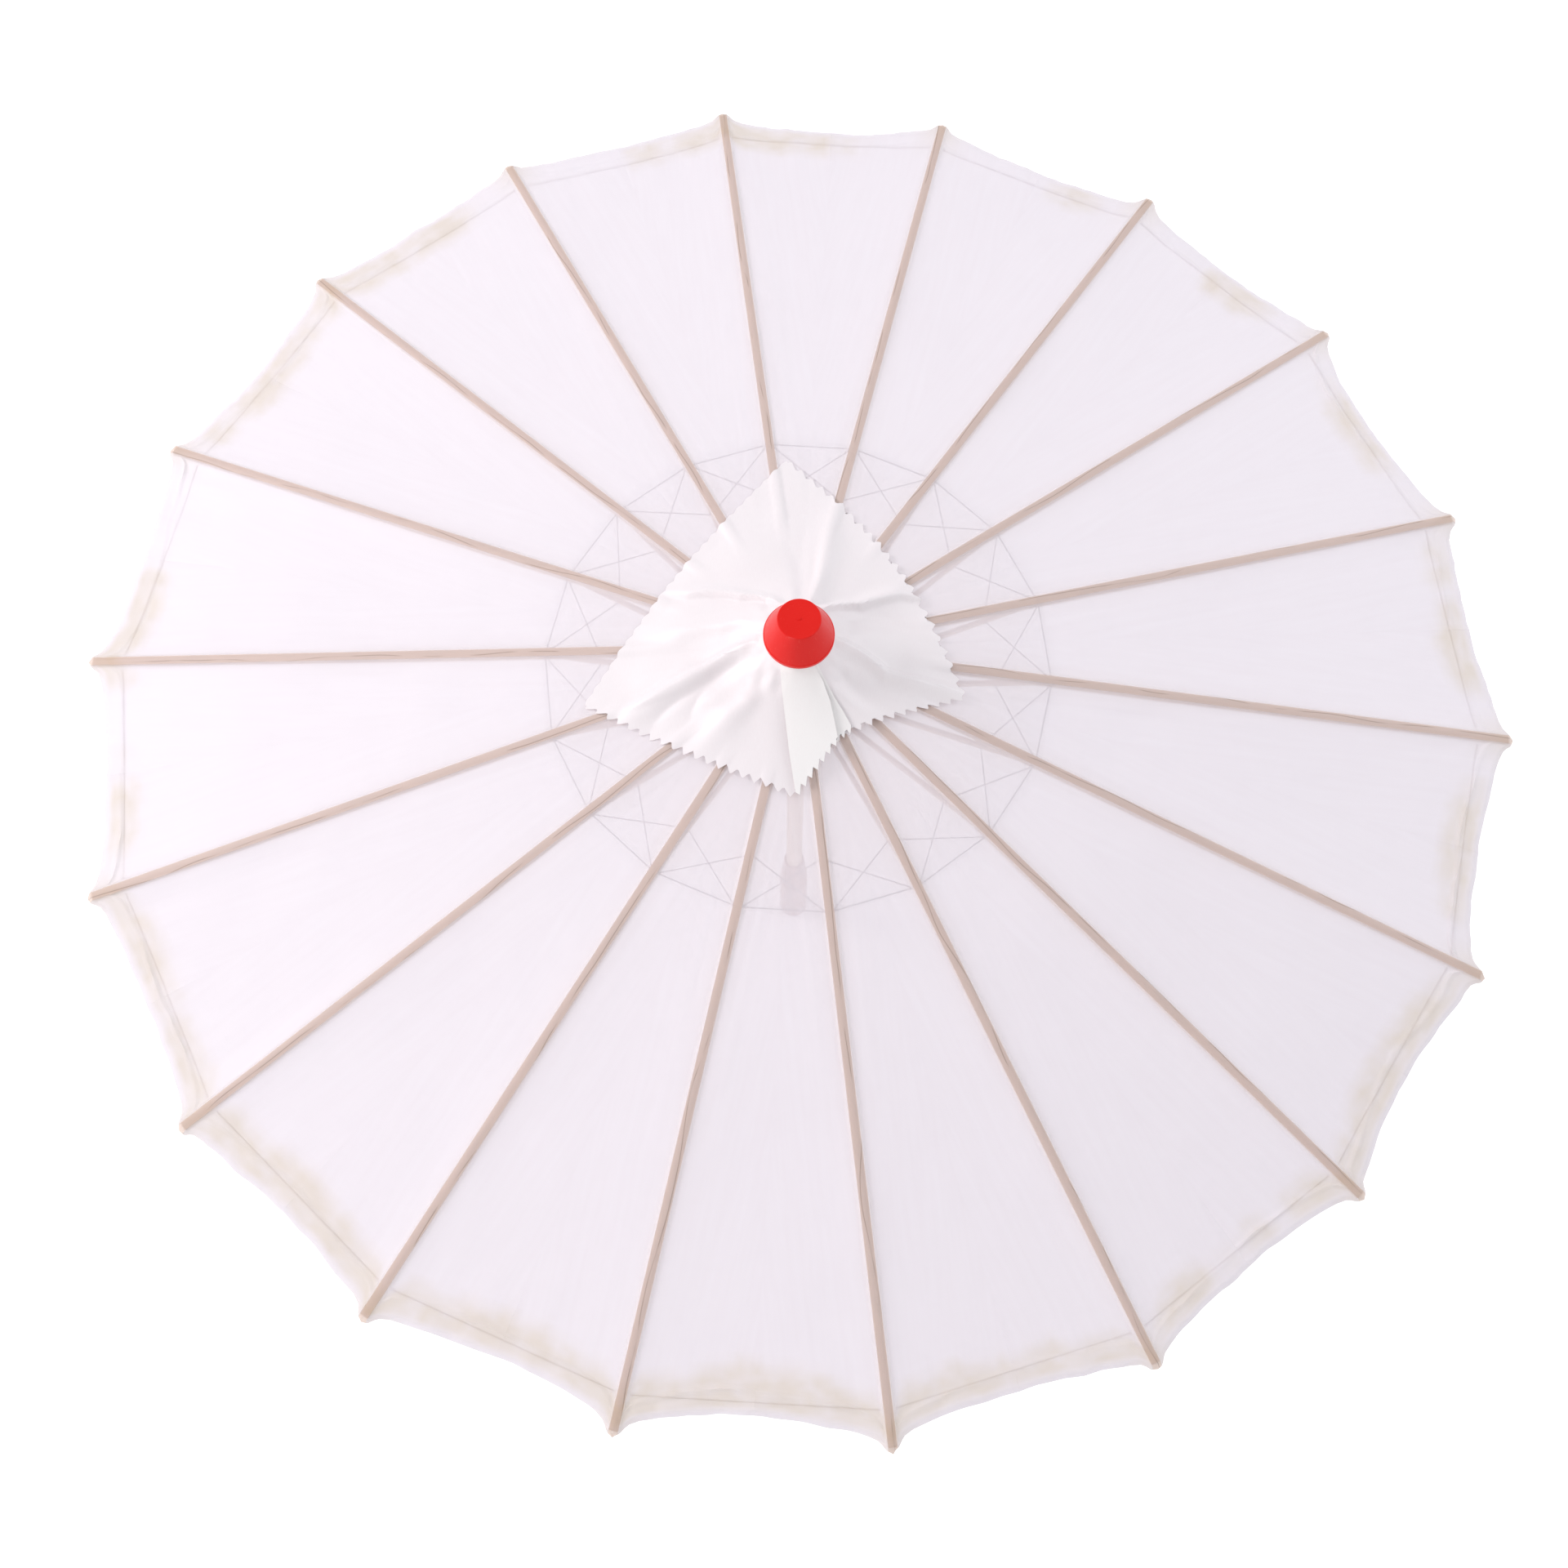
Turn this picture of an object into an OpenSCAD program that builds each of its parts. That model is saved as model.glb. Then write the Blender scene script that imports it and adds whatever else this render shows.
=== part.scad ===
// Cloth parasol on a split-bamboo frame, drawn fully open.
// Origin at the centre of the handle's bottom face, +Z up the shaft, rib_01 along +X.
// Every rib, its stretcher and the runner are links of one folding frame: the hinge ring in the
// top notch and the one in the runner have the same radius, and the stretcher is as long as the
// part of the rib inside its pivot, so the runner travels straight along the shaft.

/* [Canopy] */
// Diameter of the circle through the rib tips
canopy_d = 820; // [780:5:860]
// Number of ribs, each with its own stretcher
rib_n = 18; // [14:2:18]
// Angle of the open ribs below level
slope = 11; // [10:0.5:12]
// How far the rim curves in between two rib tips
rim_dip = 6; // [2:1:10]
// Thickness of the cloth
cloth_t = 0.5; // [0.4:0.1:0.6]

/* [Frame] */
// Height of the ring that the ribs hinge on
hub_z = 505; // [490:5:520]
// Radius of both hinge rings
ring_r = 17; // [17:0.5:18]
// Distance from a rib's hinge to its stretcher's pivot, and length of the stretcher
arm = 126; // [120:1:132]
// Width of a rib
rib_w = 4.5; // [4.2:0.1:4.6]
// Thickness of a stretcher and of a rib's hinge tongue
blade_w = 2.1; // [1.8:0.1:2.1]
// Radius of the hinge wires and pivot pins
wire_r = 0.5; // [0.4:0.05:0.5]

/* [Shaft and handle] */
// Radius of the shaft
shaft_r = 5.5; // [5.3:0.1:5.6]
// Radius of the handle's straight grip
handle_r = 10; // [9:0.5:12]
// Length of the handle
handle_l = 118; // [110:1:125]
// Length of the runner's neck below its slotted head
neck_l = 45; // [35:1:50]

/* [Cap] */
// Radius of the cap's base
cap_base_r = 19.2; // [19:0.1:21]
// Radius of the cap's flat top
cap_top_r = 11.4; // [11.4:0.1:13]
// Height of the cap
cap_h = 22.5; // [21:0.5:24]

/* [Hidden] */
$fn = 48;
step = 360 / rib_n;
canopy_r = canopy_d / 2;

// rib section, measured square to the rib from the line through its hinge and pivot
rib_top = 3.1;
rib_low = 2.4;
rib_tip_depth = 2.6;
rib_l = (canopy_r - ring_r - rib_top * sin(slope)) / cos(slope);
tongue_l = 5.5;
slot_w = blade_w + 0.4;
pivot_slot_in = 13;
pivot_slot_out = 36;
pivot_slot_top = 2;

// stretcher section
stretcher_end_r = 1.8;
stretcher_low = 2.3;

// places that the open frame gives
pivot_r = ring_r + arm * cos(slope);
pivot_z = hub_z - arm * sin(slope);
runner_z = hub_z - 2 * arm * sin(slope);

// clearances
hinge_play = 0.1;
pin_play = 0.02;
glue_gap = 0.05;
runner_play = 0.1;

// top notch: slotted disc, collar and the neck that the cap sits on
head_r = 20;
head_h = 5;
slot_floor_r = 14;
notch_disc_top = hub_z + 6;
notch_disc_low = hub_z - 4;
collar_r = 14;
collar_top = hub_z + 21.4;
neck_r = 9;
neck_top = hub_z + 36;
notch_pin_r = 1;
notch_pin_z = hub_z + 13;

// handle: depth of the socket's floor above its end
socket_z = 29.5;
socket_play = 0.5;

// runner
runner_neck_r = 9.5;
runner_low = runner_z - head_h - neck_l;
stop_r = 0.9;
stop_z = runner_z + head_h + 0.25 + stop_r;

// catch, hinged in a slot of the shaft just below the open runner
catch_w = 1.8;
catch_x = 2;
catch_z = runner_low - 26;
catch_pin_r = 0.6;
catch_end_r = 2.2;
catch_side = 270;
catch_slot = [-2.4, -catch_w / 2 - 0.2, catch_z - 4];
catch_slot_h = 31.5;

// cloth
cloth_gap = 0.3;
seam_gap = 0.1;
canopy_in_r = 24;
gore_n = 6;
apex_z = hub_z + ring_r * tan(slope) + (rib_top + cloth_gap) / cos(slope);
rise = tan(slope);
// corners of the square top cloth as it lies, from the far one round
top_corners = [[-15, 125], [-116, -32], [3, -77], [92, -18]];
top_cloth_z = collar_top + 0.1;
top_cloth_bend_r = 64;
top_cloth_over = cloth_t / cos(slope) + 0.4;

// threads
thread_r = 0.25;
web_in = 31;
web_r = ring_r + (arm - web_in) * cos(slope);
web_z = runner_z + (arm - web_in) * sin(slope);
rim_thread_r = canopy_r - 15;

// cap
cap_z = collar_top + 0.7;
cap_wall = 1.5;

function two(i) = i < 10 ? str("0", i) : str(i);
RIBS = [for (i = [1 : rib_n]) str("rib_", two(i))];
STRETCHERS = [for (i = [1 : rib_n]) str("stretcher_", two(i))];
PANELS = [for (k = [1 : rib_n / 2]) str("canopy_panel_", k)];

// ---- placing ----

// turns a piece drawn over +X to rib i's direction
module at_rib(i) {
    rotate([0, 0, (i - 1) * step]) children();
}

// rib i's own frame: origin on its hinge, x along the rib, z square to it and up
module on_rib(i) {
    at_rib(i) translate([ring_r, 0, hub_z]) rotate([0, slope, 0]) children();
}

// extrudes a side view drawn in x and z to a centred plate of width w
module plate(w) {
    rotate([90, 0, 0]) linear_extrude(w, center = true) children();
}

// a round hole or pin across a plate
module cross_bar(w, r) {
    rotate([90, 0, 0]) cylinder(h = w, r = r, center = true);
}

// a straight thread between two points
module strand(a, b) {
    d = b - a;
    translate(a)
        rotate([0, acos(d.z / norm(d)), atan2(d.y, d.x)])
        cylinder(h = norm(d), r = thread_r);
}

// a point given in rib i's upright plane as radius, sideways offset and height
function beside(i, r, y, z) =
    let (a = (i - 1) * step)
    [r * cos(a) - y * sin(a), r * sin(a) + y * cos(a), z];

// a wire bent into a ring
module wire_ring(z, r) {
    rotate_extrude() translate([ring_r, z]) circle(r = r);
}

// the radial slots that hold the flat ends of the ribs or stretchers
module ring_slots(z_low, z_high) {
    for (i = [1 : rib_n])
        at_rib(i)
            translate([slot_floor_r, -slot_w / 2, z_low])
            cube([head_r, slot_w, z_high - z_low]);
}

// ---- shaft and handle ----

module shaft() {
    color("BurlyWood")
    difference() {
        translate([0, 0, socket_z + socket_play])
            cylinder(h = neck_top - socket_z - 2 * socket_play, r = shaft_r);
        translate([0, 0, notch_pin_z]) cross_bar(3 * shaft_r, notch_pin_r + pin_play);
        translate([0, 0, stop_z]) cross_bar(3 * shaft_r, stop_r + pin_play);
        rotate([0, 0, catch_side]) {
            translate(catch_slot) cube([2 * shaft_r, catch_w + 0.4, catch_slot_h]);
            translate([catch_x, 0, catch_z]) cross_bar(3 * shaft_r, catch_pin_r + pin_play);
        }
    }
}

module handle() {
    color("Peru")
    rotate_extrude() {
        difference() {
            union() {
                translate([handle_r - 3, 3]) circle(r = 3);
                square([handle_r - 3, 6]);
                translate([0, 3]) square([handle_r, 70]);
                polygon([
                    [0, 73], [handle_r, 73], [handle_r - 1.2, 75], [handle_r - 1.2, 77],
                    [handle_r, 79], [handle_r - 1, 90], [7.4, handle_l - 6],
                    [7.4, handle_l - 1], [7, handle_l], [0, handle_l]
                ]);
            }
            translate([0, socket_z]) square([shaft_r + glue_gap, handle_l]);
        }
    }
}

// ---- top notch and cap ----

module top_notch() {
    color("Tan")
    difference() {
        rotate_extrude()
            polygon([
                [shaft_r + glue_gap, notch_disc_low], [head_r - 0.6, notch_disc_low],
                [head_r, notch_disc_low + 0.6], [head_r, notch_disc_top - 0.8],
                [head_r - 0.8, notch_disc_top], [collar_r, notch_disc_top],
                [collar_r, collar_top - 0.6], [collar_r - 0.6, collar_top],
                [neck_r, collar_top], [neck_r, neck_top - 0.6],
                [neck_r - 0.6, neck_top], [shaft_r + glue_gap, neck_top]
            ]);
        ring_slots(notch_disc_low - 1, hub_z + 3.2);
        wire_ring(hub_z, wire_r + glue_gap);
        translate([0, 0, notch_pin_z]) cross_bar(3 * collar_r, notch_pin_r + pin_play);
    }
}

module notch_wire() {
    color("Silver") wire_ring(hub_z, wire_r);
}

module notch_pin() {
    color("Silver") translate([0, 0, notch_pin_z]) cross_bar(2 * collar_r - 1, notch_pin_r);
}

module cap() {
    color("Red")
    translate([0, 0, cap_z]) {
        rotate_extrude() {
            difference() {
                polygon([
                    [0, 0], [cap_base_r, 0], [cap_base_r, 2.2], [cap_base_r - 0.5, 2.7],
                    [cap_top_r + 0.4, cap_h - 0.5], [cap_top_r, cap_h], [0, cap_h]
                ]);
                polygon([
                    [0, -1], [cap_base_r - cap_wall, -1], [cap_base_r - cap_wall, 2.2],
                    [cap_top_r - cap_wall, cap_h - cap_wall], [0, cap_h - cap_wall]
                ]);
            }
            translate([neck_r + glue_gap, 0.2]) square([1.4, cap_h - 1]);
        }
        translate([0, 0, cap_h - 0.2]) cylinder(h = 0.6, r = 0.8);
    }
}

// ---- ribs and stretchers ----

module rib_side() {
    circle(r = rib_low);
    polygon([
        [0, rib_low], [tongue_l - 0.5, rib_top], [rib_l, rib_top],
        [rib_l, rib_top - rib_tip_depth], [arm + 60, -rib_low], [0, -rib_low]
    ]);
}

module rib(i) {
    color("Wheat")
    on_rib(i) {
        difference() {
            plate(rib_w) rib_side();
            for (side = [-1, 1])
                translate([-5, side * (blade_w + rib_w) / 2 - rib_w / 2, -5])
                cube([5 + tongue_l, rib_w, 10]);
            cross_bar(2 * rib_w, wire_r + hinge_play);
            translate([arm - pivot_slot_in, -slot_w / 2, -2 * rib_low])
                cube([pivot_slot_in + pivot_slot_out, slot_w, 2 * rib_low + pivot_slot_top]);
            translate([arm, 0, 0]) cross_bar(2 * rib_w, wire_r + pin_play);
        }
        translate([arm, 0, 0]) cross_bar(rib_w - 0.2, wire_r);
    }
}

module stretcher_side() {
    circle(r = stretcher_end_r);
    translate([arm, 0]) circle(r = stretcher_end_r);
    polygon([
        [0, stretcher_end_r], [0, -stretcher_end_r], [20, -stretcher_low],
        [arm - 30, -stretcher_low], [arm, -stretcher_end_r], [arm, stretcher_end_r]
    ]);
}

module stretcher(i) {
    color("Wheat")
    at_rib(i) translate([ring_r, 0, runner_z]) rotate([0, -slope, 0])
    difference() {
        plate(blade_w) stretcher_side();
        cross_bar(2 * blade_w, wire_r + hinge_play);
        translate([arm, 0, 0]) cross_bar(2 * blade_w, wire_r + hinge_play - 0.04);
    }
}

// ---- runner, stop and catch ----

module runner() {
    color("Tan")
    difference() {
        rotate_extrude()
            polygon([
                [shaft_r + runner_play, runner_low], [runner_neck_r - 0.8, runner_low],
                [runner_neck_r, runner_low + 0.8], [runner_neck_r, runner_z - head_h - 7],
                [11.5, runner_z - head_h - 3], [head_r - 0.6, runner_z - head_h],
                [head_r, runner_z - head_h + 0.6], [head_r, runner_z + head_h - 0.8],
                [head_r - 0.8, runner_z + head_h], [shaft_r + runner_play, runner_z + head_h]
            ]);
        ring_slots(runner_z - stretcher_end_r - 0.5, runner_z + head_h + 1);
        wire_ring(runner_z, wire_r + glue_gap);
    }
}

module runner_wire() {
    color("Silver") wire_ring(runner_z, wire_r);
}

module stop_pin() {
    color("Silver") translate([0, 0, stop_z]) cross_bar(2 * shaft_r + 4.4, stop_r);
}

// side view of the catch from its pivot: the shoulder slopes so that it clears as it turns in
module catch_side_view() {
    circle(r = catch_end_r);
    polygon([
        [catch_end_r, 0], [3.3, 4], [6, 22.5], [6, 25.1], [-0.4, 25.6],
        [-0.4, 12], [-catch_end_r, 4], [-catch_end_r, 0]
    ]);
}

module catch_in_shaft() {
    rotate([0, 0, catch_side]) translate([catch_x, 0, catch_z]) children();
}

module catch() {
    color("Goldenrod")
    catch_in_shaft()
    difference() {
        plate(catch_w) catch_side_view();
        cross_bar(2 * catch_w, catch_pin_r + 0.06);
    }
}

module catch_pin() {
    color("Silver") catch_in_shaft() cross_bar(9.6, catch_pin_r);
}

// a leaf between the slot's floor and the back of the catch
module catch_spring() {
    color("DimGray")
    catch_in_shaft()
    plate(catch_w - 0.4)
    polygon([
        [-4.3, 13], [-4, 13], [-4, 15], [-0.6, 23], [-0.9, 23.2], [-4.3, 15.2]
    ]);
}

// ---- cloth ----

// underside of the cloth at angle u from a rib: each gore between two ribs is flat
function gore_mid(u) = (floor(u / step) + 0.5) * step;
function cloth_z(r, u) = apex_z - r * cos(u - gore_mid(u)) * rise / cos(step / 2);
function rim_r(u) =
    let (a = u - gore_mid(u), h = step / 2)
    canopy_r * cos(h) / cos(a) - rim_dip * (1 - pow(a / h, 2));
// the panel's two outer seams stand off its neighbours' seams
function seam(k, r) = k == 0 ? asin(seam_gap / r) : k == 2 * gore_n ? -asin(seam_gap / r) : 0;
function cloth_point(k, r, up) =
    let (u = -step + k * step / gore_n, v = u + seam(k, r), inside = k < gore_n ? -0.001 : 0.001)
    [r * cos(v), r * sin(v), cloth_z(r, abs(u) == step || u == 0 ? u + inside : v) + up];

// one panel: the gore on each side of rib i, as one closed sheet
module canopy_panel(i) {
    n = 2 * gore_n + 1;
    outer = [for (k = [0 : n - 1]) rim_r(-step + k * step / gore_n + (k < gore_n ? 0.001 : -0.001))];
    points = concat(
        [for (k = [0 : n - 1]) cloth_point(k, canopy_in_r, 0)],
        [for (k = [0 : n - 1]) cloth_point(k, outer[k], 0)],
        [for (k = [0 : n - 1]) cloth_point(k, outer[k], cloth_t)],
        [for (k = [0 : n - 1]) cloth_point(k, canopy_in_r, cloth_t)]);
    faces = concat(
        [for (row = [0 : 3], k = [0 : n - 2])
            let (next = (row + 1) % 4)
            [row * n + k, row * n + k + 1, next * n + k + 1, next * n + k]],
        [[for (row = [0 : 3]) row * n]],
        [[for (row = [3 : -1 : 0]) row * n + n - 1]]);
    color("White") at_rib(i) polyhedron(points, faces);
}

// the square cloth under the cap: flat on the collar, then a tent down to the canopy
module top_cloth() {
    tent_z = apex_z - top_cloth_bend_r * rise + top_cloth_over;
    edge_r = 130;
    edge_z = apex_z - edge_r * rise + top_cloth_over;
    color("Snow")
    intersection() {
        rotate_extrude()
            polygon([
                [neck_r + 0.3, top_cloth_z], [collar_r + 1, top_cloth_z],
                [top_cloth_bend_r, tent_z], [edge_r, edge_z], [edge_r, edge_z + cloth_t],
                [top_cloth_bend_r, tent_z + cloth_t], [collar_r + 1, top_cloth_z + cloth_t],
                [neck_r + 0.3, top_cloth_z + cloth_t]
            ]);
        translate([0, 0, edge_z - 5]) linear_extrude(100) polygon(top_corners);
    }
}

// ---- threads ----

// the ring from pivot to pivot, and the crossed threads from each pivot to the next stretcher
module web_thread() {
    side = rib_w / 2 + 0.25;
    low_side = blade_w / 2 + 0.4;
    color("White")
    for (i = [1 : rib_n]) {
        strand(beside(i, pivot_r, side, pivot_z), beside(i + 1, pivot_r, -side, pivot_z));
        strand(
            beside(i, pivot_r - 1, side + 0.15, pivot_z - 0.9),
            beside(i + 1, web_r, -low_side, web_z + 0.35));
        strand(
            beside(i, web_r, low_side, web_z - 0.35),
            beside(i + 1, pivot_r - 1, -side - 0.15, pivot_z - 1.6));
    }
}

// the thread from rib to rib inside the hem
module rim_thread() {
    side = rib_w / 2 + 0.35;
    z = apex_z - rim_thread_r * rise - 0.8;
    color("White")
    for (i = [1 : rib_n])
        strand(beside(i, rim_thread_r, side, z), beside(i + 1, rim_thread_r, -side, z));
}

shaft();
handle();
top_notch();
notch_wire();
notch_pin();
cap();
top_cloth();
runner();
runner_wire();
stop_pin();
catch();
catch_pin();
catch_spring();
web_thread();
rim_thread();
for (i = [1 : rib_n]) {
    rib(i);
    stretcher(i);
}
for (k = [1 : rib_n / 2])
    canopy_panel(2 * k);
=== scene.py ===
# %% [markdown]
# # A white cloth parasol on a split-bamboo frame
# The parasol is an assembly: eighteen ribs and eighteen stretchers hinge on wires in two slotted
# wooden rings, a cloth cover is glued on the ribs, a square of satin lies over the middle, and a
# red cap holds it. The frame comes from the CAD model and stays exactly where it is. This lesson
# gives each wooden and metal part its finish, and makes the cloth and the threads.

# %% Load the frame
import math

import bmesh
import bpy
from mathutils import Matrix, Vector, noise


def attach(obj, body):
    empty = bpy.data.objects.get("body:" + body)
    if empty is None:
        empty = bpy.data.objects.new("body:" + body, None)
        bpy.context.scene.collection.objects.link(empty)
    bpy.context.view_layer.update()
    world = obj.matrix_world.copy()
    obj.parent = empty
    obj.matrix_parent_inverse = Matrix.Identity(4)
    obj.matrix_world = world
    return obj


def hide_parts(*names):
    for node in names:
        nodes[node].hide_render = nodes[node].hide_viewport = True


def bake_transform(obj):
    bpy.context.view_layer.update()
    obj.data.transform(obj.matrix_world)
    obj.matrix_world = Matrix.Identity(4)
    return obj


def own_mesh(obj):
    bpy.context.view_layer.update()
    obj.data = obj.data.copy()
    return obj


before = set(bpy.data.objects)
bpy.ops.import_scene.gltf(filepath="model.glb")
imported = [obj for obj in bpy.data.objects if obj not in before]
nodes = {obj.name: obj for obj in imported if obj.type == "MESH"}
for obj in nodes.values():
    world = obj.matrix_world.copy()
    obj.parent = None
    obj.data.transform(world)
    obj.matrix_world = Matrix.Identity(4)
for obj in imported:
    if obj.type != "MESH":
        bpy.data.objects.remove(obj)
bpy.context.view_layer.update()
MM = 0.001

# %% [markdown]
# ## Sizes that the cloth has to follow
# The cloth touches the ribs, so it needs their numbers: how many there are, where the ring that
# they hinge on is, how steeply they fall and how far out their tips are. All are in millimetres,
# as a maker would write them, and are turned into metres only when a mesh is finished.

# %% Sizes of the frame
RIBS = 18
STEP = 2 * math.pi / RIBS
HALF = STEP / 2
CANOPY_R = 410
SLOPE = math.radians(11)
RISE = math.tan(SLOPE)
HUB_Z = 505
RING_R = 17
ARM = 126
RIB_TOP = 3.1
RIB_W = 4.5
CLOTH_GAP = 0.3
APEX_Z = HUB_Z + RING_R * RISE + (RIB_TOP + CLOTH_GAP) / math.cos(SLOPE)
COLLAR_TOP = HUB_Z + 21.4
print("cloth apex", round(APEX_Z, 2), "mm")


def rib_name(i):
    """The body and node name of rib i, counted from 1."""
    return f"rib_{i:02d}"


def rib_angle(i):
    return (i - 1) * STEP


# %% [markdown]
# ## The camera
# The parasol stands open on its handle, and is seen from high above its front edge. The lens is
# slightly long, so the far rim looks only a little smaller than the near one. The camera is made
# first, because every later choice of detail depends on what it shows.

# %% Camera
ELEVATION = math.radians(68.66)
AZIMUTH = math.radians(2.07)
DISTANCE = 1.2107
ROLL = math.radians(-1.23)
LOOK_AT = Vector((0, 0, 0.4323))

camera_data = bpy.data.cameras.new("camera")
camera_data.sensor_width = 36
camera_data.lens = 48.1
camera_data.shift_x = -0.0086
camera_data.shift_y = -0.0536
camera = bpy.data.objects.new("camera", camera_data)
bpy.context.scene.collection.objects.link(camera)
back = Vector((
    math.sin(AZIMUTH) * math.cos(ELEVATION),
    -math.cos(AZIMUTH) * math.cos(ELEVATION),
    math.sin(ELEVATION),
))
camera.location = LOOK_AT + DISTANCE * back
turn = back.to_track_quat("Z", "Y").to_matrix().to_4x4()
camera.matrix_world = Matrix.Translation(camera.location) @ turn @ Matrix.Rotation(-ROLL, 4, "Z")
bpy.context.scene.camera = camera
print("camera at", [round(x, 3) for x in camera.location])

# %% [markdown]
# ## A pale floor and soft light
# White cloth on a pale floor needs even light from all round, with one broad lamp a little
# stronger than the rest, so that folds have a bright and a grey side. The floor glows faintly, as
# a light table does, which keeps the shadow under the parasol pale and lets some light come up
# through the cloth.

# %% Floor, sky and lamps
FLOOR_SIDE = 14
FLOOR_ALBEDO = 0.85
FLOOR_GLOW = 0.34
SKY = 0.65
bpy.context.scene.view_settings.view_transform = "Standard"


def make_floor():
    bm = bmesh.new()
    bmesh.ops.create_grid(bm, x_segments=2, y_segments=2, size=FLOOR_SIDE / 2)
    mesh = bpy.data.meshes.new("floor")
    bm.to_mesh(mesh)
    bm.free()
    floor = bpy.data.objects.new("floor", mesh)
    bpy.context.scene.collection.objects.link(floor)
    paint = bpy.data.materials.new("pale_floor")
    paint.use_nodes = True
    shader = paint.node_tree.nodes["Principled BSDF"]
    shader.inputs["Base Color"].default_value = (FLOOR_ALBEDO,) * 3 + (1,)
    shader.inputs["Roughness"].default_value = 0.9
    shader.inputs["Emission Color"].default_value = (1, 1, 1, 1)
    shader.inputs["Emission Strength"].default_value = FLOOR_GLOW
    mesh.materials.append(paint)
    return floor


def make_lamp(name, place, size, watts, colour):
    data = bpy.data.lights.new(name, "AREA")
    data.shape = "DISK"
    data.size = size
    data.energy = watts
    data.color = colour
    lamp = bpy.data.objects.new(name, data)
    lamp.location = place
    lamp.rotation_euler = (LOOK_AT - Vector(place)).to_track_quat("-Z", "Y").to_euler()
    bpy.context.scene.collection.objects.link(lamp)


make_floor()
sky = bpy.data.worlds.new("studio")
sky.use_nodes = True
sky.node_tree.nodes["Background"].inputs["Color"].default_value = (0.97, 0.98, 1, 1)
sky.node_tree.nodes["Background"].inputs["Strength"].default_value = SKY
bpy.context.scene.world = sky
make_lamp("key", (-1.85, 0.35, 1.55), 0.9, 26, (1.0, 0.96, 0.97))
make_lamp("fill", (1.6, 0.9, 1.6), 1.4, 14, (0.94, 0.97, 1.0))
make_lamp("front", (-1.0, -2.0, 0.85), 0.9, 9, (1.0, 0.98, 0.97))
print("floor and lamps made")

# %% [markdown]
# ## Helpers for materials
# Every finish is a small net of shader nodes. A class holds one material's net while it is being
# made: it adds a node with its settings, joins two sockets, and has a short call for each kind of
# node that comes back often, such as sums, ramps, mixes, noise and bumps. Colours are written as
# screen values from 0 to 255, because those are easy to read, and are turned into light values.

# %% Material helpers
LINEAR_KNEE = 0.04045
MIX_A, MIX_B, MIX_RESULT = 6, 7, 2  # the colour sockets of a Mix node


def linear(r, g, b):
    """A colour written as 0-255 screen values, as the shader wants it."""
    def one(c):
        c = c / 255
        return c / 12.92 if c <= LINEAR_KNEE else ((c + 0.055) / 1.055) ** 2.4
    return (one(r), one(g), one(b), 1)


class Net:
    """The node tree of one new material."""

    def __init__(self, name):
        self.mat = bpy.data.materials.new(name)
        self.mat.use_nodes = True
        self.tree = self.mat.node_tree
        self.tree.nodes.clear()
        self.out = self.tree.nodes.new("ShaderNodeOutputMaterial")

    def add(self, kind, inputs=(), **settings):
        node = self.tree.nodes.new("ShaderNode" + kind)
        for key, value in settings.items():
            setattr(node, key, value)
        for key, value in dict(inputs).items():
            self.put(node.inputs[key], value)
        return node

    def put(self, socket, value):
        if isinstance(value, bpy.types.NodeSocket):
            self.tree.links.new(value, socket)
        elif isinstance(value, bpy.types.Node):
            self.tree.links.new(value.outputs[0], socket)
        else:
            socket.default_value = value

    def math(self, operation, a, b=0.0, clamp=False):
        return self.add("Math", {0: a, 1: b}, operation=operation, use_clamp=clamp).outputs[0]

    def plus(self, a, b):
        return self.math("ADD", a, b)

    def times(self, a, b):
        return self.math("MULTIPLY", a, b)

    def ramp(self, fac, stops):
        node = self.add("ValToRGB", {"Fac": fac})
        elements = node.color_ramp.elements
        while len(elements) < len(stops):
            elements.new(0.5)
        for element, (place, value) in zip(elements, stops):
            element.position = place
            element.color = (value,) * 3 + (1,)
        return node.outputs["Color"]

    def mix(self, fac, a, b):
        node = self.add("Mix", {"Factor": fac, MIX_A: a, MIX_B: b}, data_type="RGBA")
        return node.outputs[MIX_RESULT]

    def mix_shaders(self, fac, a, b):
        return self.add("MixShader", {"Fac": fac, 1: a, 2: b})

    def noise(self, vector, scale, detail=2.0, roughness=0.5, distortion=0.0):
        node = self.add("TexNoise", {
            "Vector": vector, "Scale": scale, "Detail": detail,
            "Roughness": roughness, "Distortion": distortion})
        return node.outputs["Fac"]

    def streaks(self, vector, scale, detail=2.0, roughness=0.5, distortion=0.0):
        """Noise with its own scale along each axis: long one way, fine another."""
        place = self.add("Mapping", {"Vector": vector, "Scale": scale}).outputs[0]
        return self.noise(place, 1.0, detail, roughness, distortion)

    def bands(self, vector, scale, distortion, direction, detail=2.0):
        node = self.add("TexWave", {
            "Vector": vector, "Scale": scale, "Distortion": distortion, "Detail": detail},
            wave_type="BANDS", bands_direction=direction)
        return node.outputs["Fac"]

    def bump(self, height, strength, distance, normal=None):
        node = self.add("Bump", {"Height": height, "Strength": strength, "Distance": distance})
        if normal is not None:
            self.put(node.inputs["Normal"], normal)
        return node.outputs["Normal"]

    def finish(self, shader):
        self.put(self.out.inputs["Surface"], shader)
        return self.mat


# %% [markdown]
# ## Split bamboo
# Ribs and stretchers are split from bamboo culms, so their fibres run dead straight along each
# stick, with a faint darker line here and there and paler, waxy patches. The sticks fan out in
# all directions, so a plain Object pattern would cut across most of them. Instead the pattern
# turns with the fan: from the angle round the shaft we work out which stick a point is on, how far
# out it is and how far it lies to the side of that stick's middle.

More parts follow.
